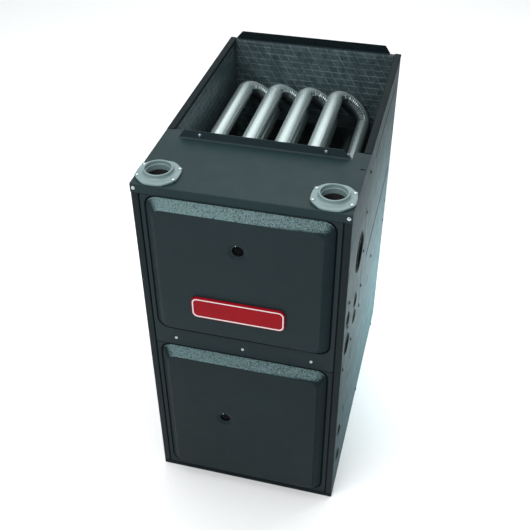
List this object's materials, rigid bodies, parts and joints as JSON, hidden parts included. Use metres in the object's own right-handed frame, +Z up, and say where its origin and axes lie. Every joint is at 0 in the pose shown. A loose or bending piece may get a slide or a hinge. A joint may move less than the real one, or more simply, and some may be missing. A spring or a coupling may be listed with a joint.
{
  "type": "forced air gas furnace",
  "caption": "Upflow condensing gas furnace cabinet with two lift-off doors, open supply outlet over a tubular heat exchanger, two pipe collars, burners, inducer and blower inside.",
  "frame": {"origin": "centre of the footprint, on the floor", "axes": "+X to the right seen from the front, +Y to the back, +Z up; the doors face -Y"},
  "size_m": [0.4444, 0.7434, 0.8963],
  "materials": {
    "paint": "satin charcoal powder coat, hammered on the pressed bevels",
    "panel": "satin charcoal powder coat",
    "side": "satin charcoal powder coat",
    "galv": "galvanised sheet",
    "alum": "bright aluminised steel tube",
    "foil": "foil scrim facing on glass wool",
    "collar": "grey moulded plastic",
    "red": "gloss red with a pale raised border, no lettering",
    "lens": "dark glossy lens",
    "screw": "zinc-plated hex washer head",
    "dark": "black enamel",
    "board": "circuit board with components",
    "copper": "laminated core and windings",
    "plastic": "moulded plastic",
    "rubber": "black rubber",
    "fin": "aluminium fins",
    "redbtn": "red moulded plastic",
    "pvc": "white ceramic or moulded plastic"
  },
  "bodies": {
    "cabinet": {"cabinet_wrap": "side", "top_panel": "panel", "base_rail": "dark", "bottom_panel": "galv", "mid_rail": "galv", "blower_deck": "galv", "vestibule_partition": "galv", "insulation_left": "foil", "insulation_right": "foil", "insulation_back": "foil", "intake_collar": "collar", "vent_collar": "collar", "heat_tube_1": "alum", "heat_tube_2": "alum", "heat_tube_3": "alum", "heat_tube_4": "alum", "rear_header": "alum", "secondary_coil": "fin", "collector_box": "plastic", "inducer_housing": "plastic", "inducer_motor": "dark", "vent_pipe": "dark", "intake_elbow": "rubber", "burner_box": "galv", "burner_1": "galv", "burner_2": "galv", "burner_3": "galv", "burner_4": "galv", "gas_manifold": "dark", "gas_valve": "alum", "igniter": "pvc", "flame_sensor": "pvc", "rollout_switch_left": "dark", "rollout_switch_right": "dark", "pressure_switch_1": "plastic", "pressure_switch_2": "plastic", "condensate_trap": "plastic", "drain_hose": "rubber", "junction_box": "galv", "control_bracket": "galv", "control_board": "board", "transformer": "copper", "door_switch": "plastic", "blower_housing": "galv", "blower_motor": "dark", "motor_mount": "galv"},
    "upper_door": {"upper_door": "paint", "upper_sight_lens": "lens", "badge_plate": "red", "door_screw_1": "screw", "door_screw_2": "screw", "door_screw_3": "screw"},
    "lower_door": {"lower_door": "paint", "lower_sight_lens": "lens"},
    "blower_wheel": {"blower_wheel": "galv"},
    "inducer_wheel": {"inducer_wheel": "galv"},
    "gas_valve_knob": {"gas_valve_knob": "redbtn"},
    "door_switch_plunger": {"door_switch_plunger": "pvc"},
    "reset_button_left": {"reset_button_left": "redbtn"},
    "reset_button_right": {"reset_button_right": "redbtn"}
  },
  "joints": [
    {"name": "upper_door_lift_off", "type": "slide", "parent": "cabinet", "child": "upper_door", "axis": [0, -1, 0], "range_m": [0, 0.15]},
    {"name": "lower_door_lift_off", "type": "slide", "parent": "cabinet", "child": "lower_door", "axis": [0, -1, 0], "range_m": [0, 0.15]},
    {"name": "blower_wheel_spin", "type": "hinge", "parent": "cabinet", "child": "blower_wheel", "pos_m": [0.00025, 0.09425, 0.19], "axis": [1, 0, 0], "continuous": true},
    {"name": "inducer_wheel_spin", "type": "hinge", "parent": "cabinet", "child": "inducer_wheel", "pos_m": [0.03975, -0.19375, 0.556], "axis": [0, 1, 0], "continuous": true},
    {"name": "gas_valve_knob_turn", "type": "hinge", "parent": "cabinet", "child": "gas_valve_knob", "pos_m": [-0.17625, -0.27575, 0.673], "axis": [0, -1, 0], "range_deg": [0, 90]},
    {"name": "door_switch_press", "type": "slide", "parent": "cabinet", "child": "door_switch_plunger", "axis": [0, 1, 0], "range_m": [0, 0.0025], "stiffness_N_per_m": 200, "springref_m": -0.004},
    {"name": "reset_left_press", "type": "slide", "parent": "cabinet", "child": "reset_button_left", "axis": [0, 0, -1], "range_m": [0, 0.0015], "stiffness_N_per_m": 300, "springref_m": -0.002},
    {"name": "reset_right_press", "type": "slide", "parent": "cabinet", "child": "reset_button_right", "axis": [0, 0, -1], "range_m": [0, 0.0015], "stiffness_N_per_m": 300, "springref_m": -0.002}
  ]
}
